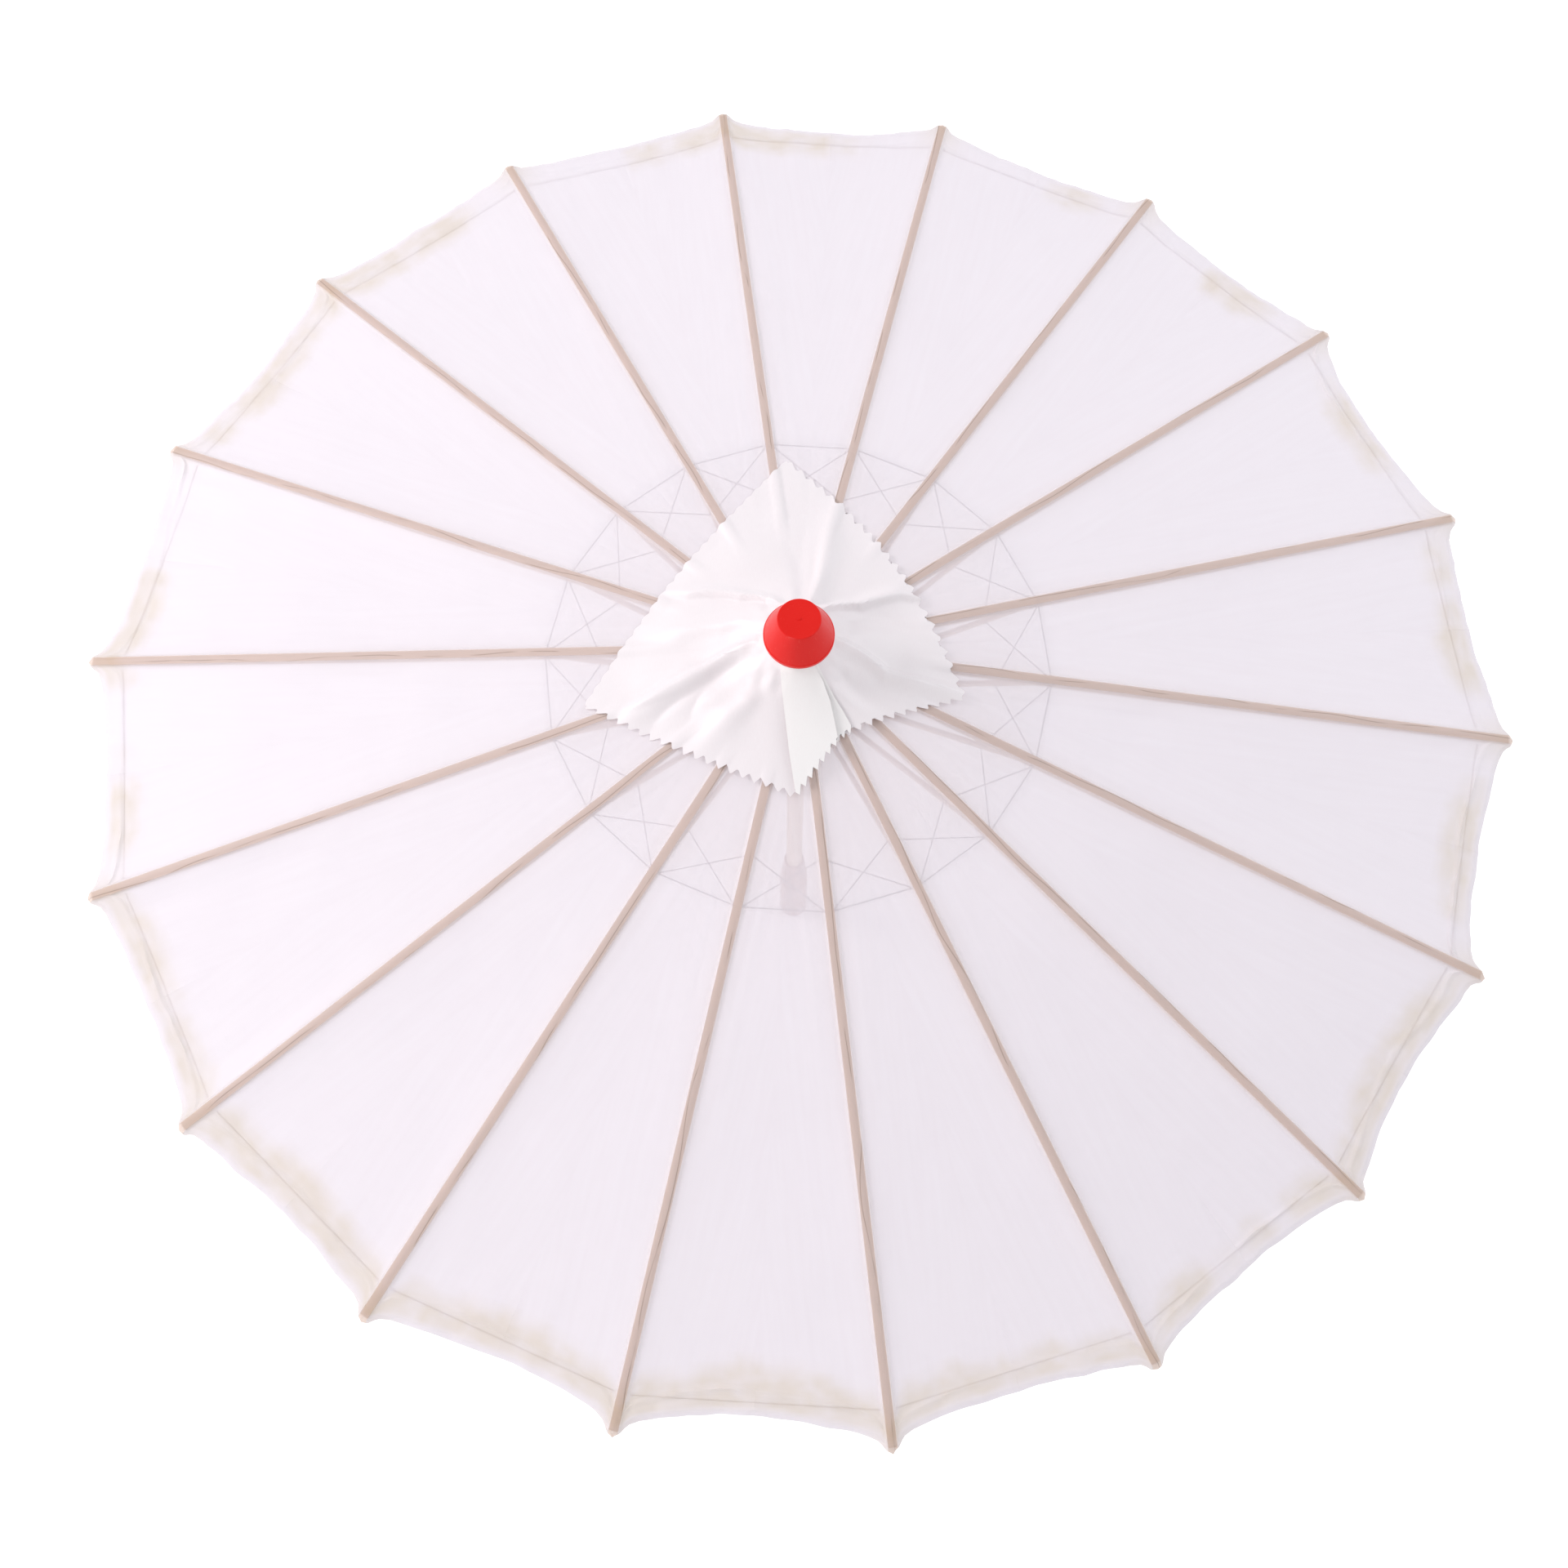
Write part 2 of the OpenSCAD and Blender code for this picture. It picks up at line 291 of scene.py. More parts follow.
# %% Coordinates along each stick
def stick_coordinates(net):
    """Vector (distance out, sideways, height) in metres, plus a number for each stick."""
    place = net.add("TexCoord").outputs["Object"]
    split = net.add("SeparateXYZ", {"Vector": place})
    x, y, z = (split.outputs[k] for k in "XYZ")
    radius = net.math("SQRT", net.plus(net.times(x, x), net.times(y, y)))
    turn = net.math("DIVIDE", net.math("ARCTAN2", y, x), STEP)
    stick = net.math("FLOOR", net.plus(turn, 0.5))
    off = net.times(net.math("SUBTRACT", turn, stick), STEP)
    side = net.times(net.math("SINE", off), radius)
    joined = net.add("CombineXYZ", {"X": radius, "Y": side, "Z": z})
    return joined.outputs[0], stick


# %% Bamboo finishes
def bamboo(name, light, dark, rough):
    net = Net(name)
    vector, stick = stick_coordinates(net)
    shift = net.add("CombineXYZ", {
        "X": net.times(stick, 0.37), "Y": net.times(stick, 0.11), "Z": 0.0})
    own = net.add("VectorMath", {0: vector, 1: shift.outputs[0]}, operation="ADD").outputs[0]
    fibre = net.streaks(own, (6, 900, 900), 4.0, 0.6)
    coarse = net.streaks(own, (9, 260, 260))
    patch = net.streaks(own, (14, 40, 40), 1.0)
    base = net.mix(net.ramp(fibre, [(0.36, 0.0), (0.68, 1.0)]), linear(*dark), linear(*light))
    streak = net.ramp(coarse, [(0.30, 1.0), (0.42, 0.0)])
    base = net.mix(net.times(streak, 0.45), base, linear(*[c * 0.72 for c in dark]))
    base = net.mix(net.times(patch, 0.35), base, linear(*light))
    normal = net.bump(fibre, 0.35, 0.0002, net.bump(coarse, 0.3, 0.0004))
    roughness = net.plus(net.times(fibre, 0.25), rough)
    return net.finish(net.add("BsdfPrincipled", {
        "Base Color": base, "Roughness": roughness, "Normal": normal}))


RIB_FINISH = bamboo("split_bamboo_rib", (246, 224, 196), (208, 178, 146), 0.38)
STRETCHER_FINISH = bamboo("split_bamboo_stretcher", (232, 210, 178), (204, 174, 138), 0.42)
print("bamboo finishes made")

# %% [markdown]
# ## Wood for the shaft, the handle and the two turned rings
# The shaft is a dowel, its grain runs up it. The handle is the same wood under a brown varnish,
# which makes it darker and glossier. The notch and the runner are turned on a lathe from a pale
# close-grained wood, which leaves fine rings round them.

# %% Wood finishes
def wood(name, light, dark, along, across, rough, coat=0.0, rings=0.0):
    net = Net(name)
    place = net.add("TexCoord").outputs["Object"]
    grain = net.streaks(place, (across, across, along), 5.0, 0.62, 0.6)
    pores = net.streaks(place, (across * 7, across * 7, along * 3))
    colour = net.mix(net.ramp(grain, [(0.32, 0.0), (0.66, 1.0)]), linear(*dark), linear(*light))
    colour = net.mix(net.times(net.ramp(pores, [(0.28, 1.0), (0.4, 0.0)]), 0.5),
                     colour, linear(*[c * 0.7 for c in dark]))
    height = net.plus(net.times(grain, 0.5), net.times(pores, 0.5))
    normal = net.bump(height, 0.25, 0.0003)
    if rings:
        lathe = net.bands(place, rings, 0.6, "Z", 1.0)
        normal = net.bump(lathe, 0.2, 0.0002, normal)
    roughness = net.plus(net.times(grain, 0.18), rough)
    return net.finish(net.add("BsdfPrincipled", {
        "Base Color": colour, "Roughness": roughness, "Normal": normal,
        "Coat Weight": coat, "Coat Roughness": 0.18}))


SHAFT_FINISH = wood("shaft_wood", (238, 218, 188), (218, 192, 158), 9, 240, 0.42)
HANDLE_FINISH = wood("varnished_wood", (176, 118, 74), (128, 78, 44), 14, 200, 0.30, coat=0.5)
TURNED_FINISH = wood("turned_wood", (240, 224, 200), (222, 200, 170), 60, 160, 0.46, rings=260)
print("wood finishes made")

# %% [markdown]
# ## Metal
# The hinge wires, pins and the spring are plain drawn steel, with fine scratches along them and a
# dull oxide bloom. The catch is stamped from brass sheet that fingers have dulled in places.

# %% Metal finishes
def metal(name, colour, dull, rough, scale):
    net = Net(name)
    place = net.add("TexCoord").outputs["Object"]
    bloom = net.noise(place, scale, 3.0)
    scratch = net.streaks(place, (scale * 2, scale * 2, scale * 12))
    mixed = net.mix(net.ramp(bloom, [(0.4, 0.0), (0.75, 0.7)]), linear(*colour), linear(*dull))
    roughness = net.plus(net.times(scratch, 0.3), rough)
    return net.finish(net.add("BsdfPrincipled", {
        "Base Color": mixed, "Metallic": 1.0, "Roughness": roughness,
        "Normal": net.bump(scratch, 0.15, 0.0001)}))


WIRE_FINISH = metal("drawn_steel", (196, 196, 192), (132, 126, 118), 0.22, 300)
SPRING_FINISH = metal("spring_steel", (128, 130, 136), (88, 86, 84), 0.28, 400)
BRASS_FINISH = metal("dulled_brass", (214, 176, 98), (150, 116, 62), 0.26, 220)
print("metal finishes made")

# %% [markdown]
# ## The red cap
# The cap is a moulded cup in red plastic with a soft gloss. A mould leaves it slightly uneven: a
# shallow orange-peel ripple that breaks up the reflections, faint clouds of a second red, and fine
# paler rub marks.

# %% Cap plastic
def cap_plastic():
    net = Net("red_plastic")
    place = net.add("TexCoord").outputs["Object"]
    ripple = net.noise(place, 160, 2.0)
    cloud = net.noise(place, 60, 2.0)
    rubbed = net.streaks(place, (900, 900, 120), 3.0)
    colour = net.mix(cloud, linear(222, 19, 10), linear(229, 27, 17))
    colour = net.mix(net.ramp(rubbed, [(0.62, 0.0), (0.8, 0.25)]), colour, linear(240, 110, 100))
    normal = net.bump(ripple, 0.08, 0.0005, net.bump(rubbed, 0.04, 0.0002))
    roughness = net.plus(net.times(rubbed, 0.22), 0.26)
    return net.finish(net.add("BsdfPrincipled", {
        "Base Color": colour, "Roughness": roughness, "Normal": normal,
        "Subsurface Weight": 0.08, "Subsurface Radius": (0.004, 0.001, 0.001),
        "Specular IOR Level": 0.25, "Coat Weight": 0.06, "Coat Roughness": 0.15}))


CAP_FINISH = cap_plastic()
print("cap finish made")

# %% [markdown]
# ## The frame's parts get their finishes
# A part of the frame whose shape is already right keeps its mesh and only changes its material.
# One table says which part gets which finish, so nothing is forgotten. The panels and threads of
# the frame aren't in it, because cloth and thread are made new below and take their place.

# %% Give the CAD nodes their finishes
FINISHES = {
    "shaft": SHAFT_FINISH, "handle": HANDLE_FINISH,
    "top_notch": TURNED_FINISH, "runner": TURNED_FINISH,
    "notch_wire": WIRE_FINISH, "runner_wire": WIRE_FINISH, "notch_pin": WIRE_FINISH,
    "stop_pin": WIRE_FINISH, "catch_pin": WIRE_FINISH, "catch_spring": SPRING_FINISH,
    "catch": BRASS_FINISH, "cap": CAP_FINISH,
}
for i in range(1, RIBS + 1):
    FINISHES[rib_name(i)] = RIB_FINISH
    FINISHES[f"stretcher_{i:02d}"] = STRETCHER_FINISH
for name, finish in FINISHES.items():
    slots = nodes[name].material_slots
    for slot in slots:
        slot.material = finish
    if not slots:
        nodes[name].data.materials.append(finish)
print("finished CAD nodes:", len(FINISHES))

# %% [markdown]
# ## The cover's cloth
# The cover is a thin white plain weave, dense enough to hide what is far below it and sheer enough
# to show what touches it. Glue soaked through it along every rib and in the hem, and glued cloth
# turns clear, so the bamboo shows brown through it, with the rib's own darker edge as a broken
# line that wanders along it. In the hem the glue has dried to cream stains. The material has three
# layers: light that passes straight through, light that is scattered through, and light that is
# scattered back, with a faint sheen. Its pattern follows the flat cut of each piece, whose first
# coordinate is the distance in metres from the middle of the rib.

# %% Cloth material
WEAVE_SCALE = 420.0
PER_CM = 100.0
PER_MM = 1000.0
GLUE_STRIP = [(0.215, 1.0), (0.262, 0.0)]  # centimetres from the rib's middle
RIB_LINE = [(0.12, 1.0), (0.34, 0.0)]  # millimetres from the line's middle
LINE_WANDER = 0.009
SEE_GLUED = 0.32


def cover_cloth(name, clear, scattered):
    """Cover cloth: clear is the share of light that passes straight through it where it isn't
    glued, and scattered the share of the rest that goes through it softened."""
    net = Net(name)
    uv = net.add("UVMap", uv_map="cut").outputs[0]
    across = net.add("SeparateXYZ", {"Vector": uv}).outputs["X"]
    place = net.add("TexCoord").outputs["Object"]
    weave = net.times(net.bands(uv, WEAVE_SCALE, 0.4, "X"), net.bands(uv, WEAVE_SCALE, 0.4, "Y"))
    slub = net.streaks(uv, (300, 22, 1), 3.0)
    cloud = net.noise(uv, 9.0, 2.0)
    glue = net.add("Attribute", attribute_name="glue").outputs["Fac"]
    stain = net.add("Attribute", attribute_name="stain").outputs["Fac"]
    tone = net.mix(net.ramp(slub, [(0.3, 0.0), (0.75, 1.0)]), linear(228, 220, 227), linear(230, 223, 230))
    tone = net.mix(net.times(cloud, 0.35), tone, linear(232, 227, 233))
    tone = net.mix(net.times(stain, 0.9), tone, linear(218, 206, 196))
    distance = net.math("ABSOLUTE", across)
    strip = net.ramp(net.times(distance, PER_CM), GLUE_STRIP)
    tone = net.mix(net.times(strip, 0.42), tone, linear(248, 220, 196))
    sway = net.math("SUBTRACT", net.noise(place, 16.0, 1.0), 0.38)
    wander = net.times(sway, LINE_WANDER)
    beyond = net.math("ABSOLUTE", net.math("SUBTRACT", across, wander))
    line = net.ramp(net.times(beyond, PER_MM), RIB_LINE)
    broken = net.ramp(net.noise(place, 34.0, 1.0), [(0.44, 0.0), (0.54, 1.0)])
    line = net.times(net.times(line, broken), strip)
    tone = net.mix(net.times(line, 0.48), tone, linear(156, 132, 118))
    soaked = net.math("MAXIMUM", net.times(strip, 0.8), net.times(glue, 0.5))
    see = net.math("ADD", clear, net.times(soaked, SEE_GLUED - clear), clamp=True)
    normal = net.bump(weave, 0.10, 0.0001, net.bump(slub, 0.015, 0.0002))
    front = net.add("BsdfPrincipled", {
        "Base Color": tone, "Roughness": 0.5, "Normal": normal,
        "Sheen Weight": 0.25, "Sheen Roughness": 0.4, "Specular IOR Level": 0.35})
    through = net.add("BsdfTranslucent", {"Color": tone, "Normal": normal})
    body = net.mix_shaders(scattered, front, through)
    return net.finish(net.mix_shaders(see, body, net.add("BsdfTransparent")))


COVER_TOP = cover_cloth("cover_cloth", 0.17, 0.3)
COVER_UNDER = cover_cloth("cover_cloth_underside", 0.78, 0.2)
print("cover cloth made")

# %% [markdown]
# ## One surface for the whole cover
# The cover is one cloth stretched over eighteen ribs. It lies on each rib, drops a little beside
# it, and spans to the next one almost flat, with a slight sag and slow ripples. Near the rim the
# pull of the ribs makes fine wrinkles that fan out from each tip, and the edge is turned under in
# a glued hem with a raised bead at its inner side. The sheet could be simulated, but glued cloth
# can hardly move, so all of it is one height function of the place. Pieces that are cut from it
# meet exactly and read as one continuous sheet.

# %% Outline of the cover
IN_R = 24
RIM_DIP = 6
RIM_OVER = 0.6
NECK = 2.4
HEM = 13


def gore_angle(angle):
    """The angle from the nearest rib, 0 to half a gore."""
    turn = angle / STEP
    return abs(turn - math.floor(turn + 0.5)) * STEP


def smooth(low, high, x):
    t = min(1, max(0, (x - low) / (high - low)))
    return t * t * (3 - 2 * t)


def rim_radius(angle):
    """Radius of the cover's edge. It dips in each gore, more on one side than the other, steps in
    right beside each tip, and wavers a little all the way round."""
    gore = math.floor(angle / STEP) % RIBS
    t = angle / STEP - math.floor(angle / STEP)
    off = (t - 0.5) * STEP
    lean = 1 + 0.9 * noise.noise((gore * 1.37, 0.4, 2.6))
    depth = RIM_DIP * (1 + 1.1 * noise.noise((gore * 1.91, 3.3, 0.7)) - 0.35 * math.sin(angle))
    dip = depth * (4 * t ** lean * (1 - t ** lean)) ** 0.8
    side = CANOPY_R * math.sin(gore_angle(angle))
    ring = (math.cos(angle) * 9, math.sin(angle) * 9, 3.1)
    waver = noise.noise(ring) * 2.0 + noise.noise([c * 3.7 for c in ring]) * 1.1
    neck = NECK * (1 - smooth(2.4, 6.5, side))
    beside_tip = 1.8 * smooth(3.2, 10, side) - neck
    straight = (CANOPY_R + RIM_OVER) * math.cos(HALF) / math.cos(off)
    return straight - dip + waver * smooth(4, 16, side) - beside_tip


def hem_width(angle):
    """How far the turned-under edge reaches in: it wanders along the rim."""
    ring = (math.cos(angle) * 7, math.sin(angle) * 7, 8.2)
    return HEM - 2 + 5 * noise.noise(ring)


print("the rim's radius at the first rib:", round(rim_radius(0), 1), "mm")

# %% Height of the cover
CLOTH_LIFT = 0.25
SAG = 2.2
RIB_STEP = 1.15
SHOULDER = 1.6
SHOULDER_FROM, SHOULDER_TO, SHOULDER_FADE = 150, 260, 9
WRINKLES_IN, WRINKLES_OUT = 95, 8
PULL, PULL_FADE = 0.8, 14
PUCKER = 1.1
BEAD, BEAD_W = 1.15, 1.2
HEM_LIFT = 0.4
EDGE_DROP, EDGE_W = 1.0, 2.4
HOOD = 2.6


def cover_height(r, angle):
    """Height of the middle of the cloth, in millimetres."""
    off = gore_angle(angle)
    side = r * math.sin(off)
    flat = APEX_Z - r * math.cos(off - HALF) * RISE / math.cos(HALF) + CLOTH_LIFT
    span = off / STEP
    sag = SAG * 4 * span * (1 - span) * (r / CANOPY_R) ** 1.5
    beside = RIB_STEP * smooth(1.9, 3.9, side)
    fallen = 1 - math.exp(-max(0, side - 2) / SHOULDER_FADE)
    beside += SHOULDER * smooth(SHOULDER_FROM, SHOULDER_TO, r) * fallen
    x = r * math.cos(angle)
    y = r * math.sin(angle)
    free = smooth(2.5, 14, side)
    slow = noise.noise((x / 75, y / 75, 1.7)) * 1.3 + noise.noise((x / 28, y / 28, 5.2)) * 0.45
    rim = smooth(CANOPY_R - WRINKLES_IN, CANOPY_R - WRINKLES_OUT, r)
    gore = math.floor(angle / STEP)
    fan = noise.noise((span * 26, r / 60, gore * 2.3)) * 0.9
    fan += noise.noise((span * 60, r / 30, gore)) * 0.4
    tug = noise.noise((side / 4.5, r / 150, gore * 3.1 + (off > 0)))
    pull = tug * PULL * math.exp(-side / PULL_FADE)
    edge = rim_radius(angle)
    fold = edge - hem_width(angle)
    seen = smooth(-0.25, 0.55, noise.noise((x / 60, y / 60, 4.4)) - 0.4 * math.sin(angle))
    lumps = 0.75 + noise.noise((x / 18, y / 18, 4.4))
    bead = BEAD * seen * math.exp(-((r - fold) / BEAD_W) ** 2) * lumps
    gathers = noise.noise((span * 70, (edge - r) / 9, gore * 1.3))
    pucker = gathers * PUCKER * smooth(fold - 8, edge, r)
    hem = HEM_LIFT * smooth(fold - 1, fold, r) + bead - EDGE_DROP * smooth(edge - EDGE_W, edge, r)
    hood = HOOD * smooth(CANOPY_R + 0.3, CANOPY_R + NECK, r) * (1 - smooth(3, 8, side))
    slack = slow * smooth(40, 150, r) + fan * rim + pull * smooth(60, 130, r) + pucker
    return flat - sag - beside - hood + free * slack + hem * smooth(1.5, 4, side)


print("the cover's fall to its rim:", round(APEX_Z - cover_height(CANOPY_R - HEM, HALF), 1), "mm")

# %% Glue stains
STAIN_DEPTH = 45
STAIN_REACH = 17
TIP_STAIN = 0.55


def stain_at(r, angle):
    """How much glue has dried cream: a mottled band along the hem, more in some gores and more
    at the front of the parasol."""
    depth = rim_radius(angle) - r
    if depth > STAIN_DEPTH:
        return 0
    ring = (math.cos(angle) * 5, math.sin(angle) * 5, 0.4)
    patch = noise.noise([c * 1.3 for c in ring]) + 0.4 * noise.noise([c * 5 for c in ring])
    fine = (math.cos(angle) * 36, math.sin(angle) * 36, depth / 9)
    mottle = 0.82 + 0.45 * noise.noise(fine) + 0.3 * noise.noise([c * 2.3 for c in fine])
    front = 0.16 - 0.26 * math.sin(angle)
    reach = STAIN_REACH + 8 * patch + 3 * noise.noise([c * 9 for c in ring])
    band = smooth(0.5, 6, depth) * (1 - smooth(reach - 5, reach + 9, depth))
    body = smooth(-0.25, 0.35, patch + front) * band * mottle
    side = r * math.sin(gore_angle(angle))
    tip = TIP_STAIN * math.exp(-(depth / 16) ** 2 - (side / 12) ** 2)
    return min(1, max(0, max(body, tip)))


print("stain in the hem at the front:", round(stain_at(CANOPY_R - HEM, -math.pi / 2 + HALF), 2))

# %% [markdown]
# ## Making and thickening a sheet
# Every cloth piece starts as a flat grid, is moved to its place, and becomes an object. Solidify
# then gives it a real thickness, with an underside that can have a finish of its own.

# %% Mesh helpers
SHARP_ANGLE = math.radians(50)


def new_object(name, bm, *materials):
    mesh = bpy.data.meshes.new(name)
    bm.to_mesh(mesh)
    bm.free()
    for material in materials:
        mesh.materials.append(material)
    made = bpy.data.objects.new(name, mesh)
    bpy.context.scene.collection.objects.link(made)
    return made


def settle(obj):
    """Apply an object's modifiers to its mesh."""
    bpy.context.view_layer.update()
    final = bpy.data.meshes.new_from_object(obj.evaluated_get(bpy.context.evaluated_depsgraph_get()))
    obj.modifiers.clear()
    obj.data = final


def thicken(obj, thickness, own_underside=False):
    """Give a sheet its thickness in millimetres, half above it and half below."""
    solid = obj.modifiers.new("thickness", "SOLIDIFY")
    solid.thickness = thickness * MM
    solid.offset = 0
    solid.use_even_offset = False
    if own_underside:
        solid.material_offset = 1
        solid.material_offset_rim = 1
    settle(obj)
    obj.data.set_sharp_from_angle(angle=SHARP_ANGLE)


# %% [markdown]
# ## Cutting the cover into half gores
# Each rib carries the cloth on both sides of it, as far as the middle of the gore. When the parasol
# closes, a real cover folds inwards between the ribs. Each half gore is its own piece on its rib. The
# cloth that is glued on top of a rib can't fold, so it is a narrow strip of its own.

# %% Rows and columns of a half gore
ROWS = 96
HEM_ROWS = 20
HEM_ROW = 1.15
COLUMNS = 18
STRIP = 2.35
STRIP_COLUMNS = 4
BESIDE_RIB = [0, 0.4, 0.9, 1.6, 2.8, 4.6]
RIM_MARGIN = 6


def column_place(k, half_width):
    """Sideways place of column k of a half gore, in millimetres: close columns beside the rib."""
    last = len(BESIDE_RIB) - 1
    room = half_width - STRIP
    scale = min(1, 0.6 * room / BESIDE_RIB[last])
    if k <= last:
        return STRIP + BESIDE_RIB[k] * scale
    start = STRIP + BESIDE_RIB[last] * scale
    return start + (half_width - start) * (k - last) / (COLUMNS - last)


def row_share(j):
    """Where row j of a half gore lies, 0 at the hub and 1 at the rim: close rows in the hem."""
    whole = CANOPY_R - IN_R
    hem_share = HEM_ROWS * HEM_ROW / whole
    inner = ROWS - HEM_ROWS
    if j <= inner:
        return (1 - hem_share) * j / inner
    return 1 - hem_share * (ROWS - j) / HEM_ROWS


print("half gore grid:", COLUMNS, "by", ROWS)


# %% Pieces of the cover
def cover_piece(name, i, columns, place):
    """A sheet of the cover: place(k, half_width) is the sideways place of its column k."""
    bm = bmesh.new()
    bmesh.ops.create_grid(bm, x_segments=columns, y_segments=ROWS, size=0.5)
    glue = bm.verts.layers.float.new("glue")
    stain = bm.verts.layers.float.new("stain")
    cut = {}
    for v in bm.verts:
        k = round((v.co.x + 0.5) * columns)
        spread = row_share(round((v.co.y + 0.5) * ROWS))
        reach = IN_R + (CANOPY_R - RIM_MARGIN - IN_R) * spread
        off = math.asin(place(k, reach * math.sin(HALF)) / reach)
        angle = rib_angle(i) + off
        r = IN_R + (rim_radius(angle) - IN_R) * spread
        v[stain] = stain_at(r, angle)
        v[glue] = max(0.25 * v[stain], 0.15 * math.exp(-((rim_radius(angle) - r) / 9) ** 2))
        cut[v.index] = (r * math.sin(off) * MM, r * math.cos(off) / math.cos(SLOPE) * MM)
        v.co = Vector((r * math.cos(angle), r * math.sin(angle), cover_height(r, angle))) * MM
    uv = bm.loops.layers.uv.new("cut")
    for face in bm.faces:
        face.smooth = True
        for loop in face.loops:
            loop[uv].uv = cut[loop.vert.index]
    bm.normal_update()
    if sum(face.normal.z for face in bm.faces) < 0:
        bmesh.ops.reverse_faces(bm, faces=bm.faces[:])
    return new_object(name, bm, COVER_TOP, COVER_UNDER)


def half_gore(i, side):
    letter = "a" if side > 0 else "b"
    return cover_piece(f"cover_{i:02d}_{letter}", i, COLUMNS,
                       lambda k, half_width: side * column_place(k, half_width))


def rib_strip(i):
    """The cloth that is glued on top of rib i."""
    return cover_piece(f"cover_{i:02d}_rib", i, STRIP_COLUMNS,
                       lambda k, half_width: STRIP * (2 * k / STRIP_COLUMNS - 1))


def panel_of(i, side):
    """The CAD panel that a half gore stands for: panel k spans the gores on each side of rib 2k."""
    even = i if i % 2 == 0 else i + side
    return f"canopy_panel_{(even // 2 - 1) % (RIBS // 2) + 1}"


# %% Make the cover
COVER_THICKNESS = 0.4
for i in range(1, RIBS + 1):
    for side in (1, -1):
        piece = half_gore(i, side)
        thicken(piece, COVER_THICKNESS, own_underside=True)
        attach(piece, rib_name(i))
        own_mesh(piece)
        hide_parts(panel_of(i, side))
for i in range(1, RIBS + 1):
    piece = rib_strip(i)
    thicken(piece, COVER_THICKNESS, own_underside=True)
    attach(piece, rib_name(i))
    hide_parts(panel_of(i, 1), panel_of(i, -1))

# %% [markdown]
# ## Satin for the square under the cap
# The square in the middle is a denser cloth, a satin weave: its long floating threads give a soft gloss
# that runs along the folds. It is nearly opaque, and it is cut with pinking shears. The flap is folded
# double, and it has a brighter copy of the finish: painted light, which makes the flap brighter than the
# rest of the square.

# %% Satin material
SATIN_SCATTERED = 0.05
SATIN_CLEAR = 0.02


def satin(name, dark, light):
    net = Net(name)
    uv = net.add("UVMap", uv_map="cut").outputs[0]
    floats = net.streaks(uv, (2400, 260, 1))
    weft = net.bands(uv, 640.0, 0.6, "Y")
    cloud = net.noise(uv, 30.0, 2.0)
    tone = net.mix(floats, linear(*dark), linear(*light))
    tone = net.mix(net.times(cloud, 0.4), tone, linear(247, 242, 244))
    normal = net.bump(weft, 0.08, 0.0001, net.bump(floats, 0.12, 0.0002))
    roughness = net.plus(net.times(floats, 0.16), 0.32)
    front = net.add("BsdfPrincipled", {
        "Base Color": tone, "Roughness": roughness, "Normal": normal, "Specular IOR Level": 0.5,
        "Anisotropic": 0.4, "Sheen Weight": 0.2, "Sheen Roughness": 0.35})
    through = net.add("BsdfTranslucent", {"Color": tone, "Normal": normal})
    body = net.mix_shaders(SATIN_SCATTERED, front, through)
    return net.finish(net.mix_shaders(SATIN_CLEAR, body, net.add("BsdfTransparent")))


SATIN = satin("white_satin", (244, 235, 238), (250, 244, 246))
# The flap's brighter copy of the satin is painted light.
PAINTED_LIT_SATIN = satin("double_satin_painted_lit", (252, 247, 246), (255, 254, 252))
print("satin finishes made")

# %% [markdown]
# ## The square's shape
# The square lies flat on the notch's collar, under the cap, and falls like a tent to the cover.
# Gathering it round the cap throws folds that run outwards: some are sharp near the cap and fade,
# some run to the edge. Each fold is a line that starts at the cap and bends on its way out, with a
# height and a width, and often with one side steeper than the other, as a crease has. Between the
# folds the cloth is slightly crumpled, except where the flap lies on it. The edge is a row of
# pinked teeth. The near corner is folded back on itself, so a flap of double cloth comes out from
# under the front of the cap.

# %% Folds of the square
# Each fold: its angles from the cap to the edge in degrees, its height, its width, where it starts
# and fades, and its steep side, 1 for the left, -1 for the right or 0 for neither.
FOLDS = [
    ((78, 78, 80, 82), 5.0, 6.5, 17, 92, 1.2),
    ((90, 92, 94, 96), -1.6, 5.0, 24, 90, 0.0),
    ((60, 41, 36, 24), 4.2, 5.0, 18, 90, -1.0),
    ((6, -12, -10, -9), 4.2, 6.0, 18, 112, 1.0),
    ((112, 138, 152, 158), 4.2, 5.0, 18, 96, 1.0),
    ((148, 164, 172, 176), 3.6, 7.0, 19, 92, 0.0),
    ((-178, -165, -159, -154), 4.6, 7.5, 20, 118, -1.0),
    ((-127, -131, -132, -133), 2.8, 8.0, 34, 96, 0.0),
    ((-60, -50, -42, -38), 2.6, 6.0, 19, 70, 0.0),
    ((33, 30, 22, 14), -2.6, 7.0, 24, 74, 0.0),
    ((-30, -33, -35, -37), -2.0, 8.0, 22, 66, 0.0),
    ((-164, -157, -151, -147), -2.8, 6.0, 24, 100, 0.0),
]
FOLD_TURN = 1.4
STEEP = 0.55


def turn_between(a, b):
    """The signed angle from b to a, in radians."""
    return math.atan2(math.sin(a - b), math.cos(a - b))


